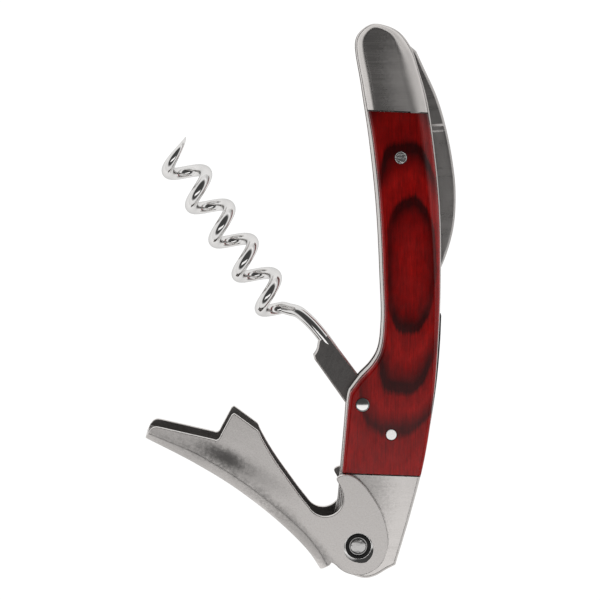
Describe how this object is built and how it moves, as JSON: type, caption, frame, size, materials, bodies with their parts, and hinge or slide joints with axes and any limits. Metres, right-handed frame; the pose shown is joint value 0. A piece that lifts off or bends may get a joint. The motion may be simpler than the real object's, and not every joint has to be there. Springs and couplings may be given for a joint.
{
  "type": "waiters corkscrew",
  "caption": "Folding waiter's corkscrew: curved wood and steel handle with a foil knife at the head, a wire worm at the belly and a channel lever with a cap lifter at the foot.",
  "frame": {"origin": "middle of the footprint on the surface the corkscrew lies on", "axes": "+Y up the handle from its foot to its head, -X towards the belly where the worm and lever fold in, +Z through the thickness, out of the front face"},
  "size_m": [0.0672, 0.1206, 0.0136],
  "materials": {
    "liner_steel": "fine brushed stainless sheet",
    "bolster_steel": "stainless brushed across the handle",
    "red_wood": "deep red lacquered laminated hardwood with dark grain bands",
    "spring_steel": "dull spring steel",
    "blade_steel": "satin ground stainless",
    "worm_steel": "polished wire with a dull stamped tang",
    "lever_steel": "tumbled satin stainless sheet",
    "washer_steel": "dark oxidised steel",
    "rivet_steel": "polished steel"
  },
  "bodies": {
    "handle": {"liner_front": "liner_steel", "liner_rear": "liner_steel", "head_bolster_front": "bolster_steel", "head_bolster_rear": "bolster_steel", "scale_front": "red_wood", "scale_rear": "red_wood", "foot_bolster_front": "bolster_steel", "foot_bolster_rear": "bolster_steel", "blade_spring": "spring_steel", "back_spring": "spring_steel", "foot_spacer": "spring_steel", "blade_pin": "rivet_steel", "scale_rivet_upper": "rivet_steel", "scale_rivet_lower": "rivet_steel", "worm_rivet": "rivet_steel"},
    "blade": {"knife_blade": "blade_steel"},
    "worm": {"worm": "worm_steel"},
    "lever": {"lever": "lever_steel", "lever_rivet": "rivet_steel", "lever_washer_front": "washer_steel", "lever_washer_rear": "washer_steel"}
  },
  "joints": [
    {"name": "lever_hinge", "type": "hinge", "parent": "handle", "child": "lever", "pos_m": [0.01248, -0.05261, 0.0068], "axis": [0, 0, 1], "range_deg": [-56, 102]},
    {"name": "worm_hinge", "type": "hinge", "parent": "handle", "child": "worm", "pos_m": [0.01333, -0.02186, 0.0068], "axis": [0, 0, 1], "range_deg": [-32.1, 58.4]},
    {"name": "blade_hinge", "type": "hinge", "parent": "handle", "child": "blade", "pos_m": [0.01968, 0.05349, 0.0068], "axis": [0, 0, 1], "range_deg": [0, 176]}
  ],
  "couplings": [
    {"joint": "worm_hinge", "follows": "lever_hinge", "ratio": 0.5714}
  ]
}
